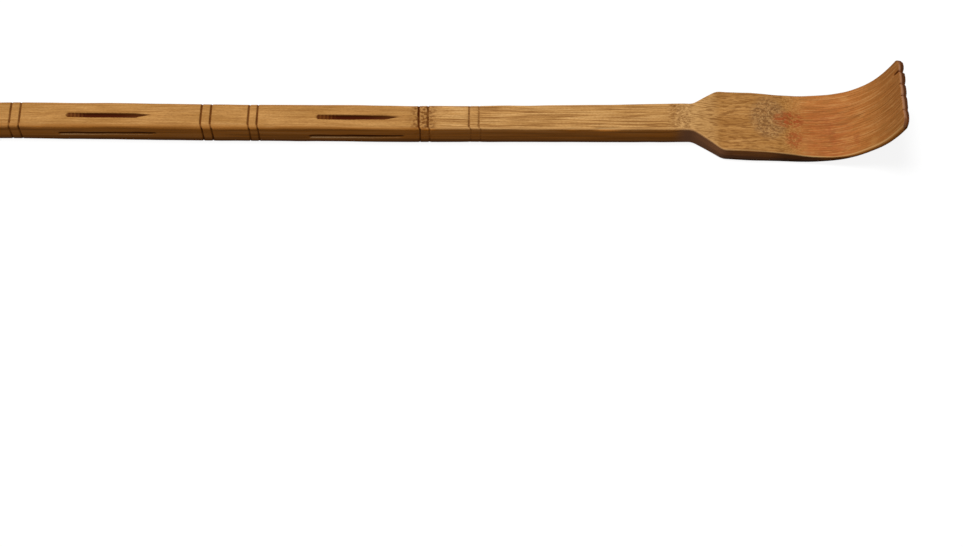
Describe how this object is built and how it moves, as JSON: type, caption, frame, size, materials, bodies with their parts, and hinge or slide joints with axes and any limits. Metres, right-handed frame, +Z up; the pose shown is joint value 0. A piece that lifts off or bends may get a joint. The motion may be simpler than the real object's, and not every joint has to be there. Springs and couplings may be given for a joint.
{
  "type": "back scratcher",
  "caption": "One-piece carved bamboo back scratcher: a slim square stick with ring grooves and gouged slots, widening into a thin paddle that curls up to a toothed end.",
  "frame": {"origin": "under the middle of the overall length and width, on the flat underside", "axes": "+X along the stick towards the toothed head, +Y to the left of it, +Z up, the way the head curls"},
  "size_m": [0.4314, 0.0246, 0.0245],
  "materials": {
    "bamboo": "planed and lightly varnished bamboo, darkened with use"
  },
  "bodies": {
    "root": {"bamboo_body": "bamboo"}
  },
  "joints": []
}
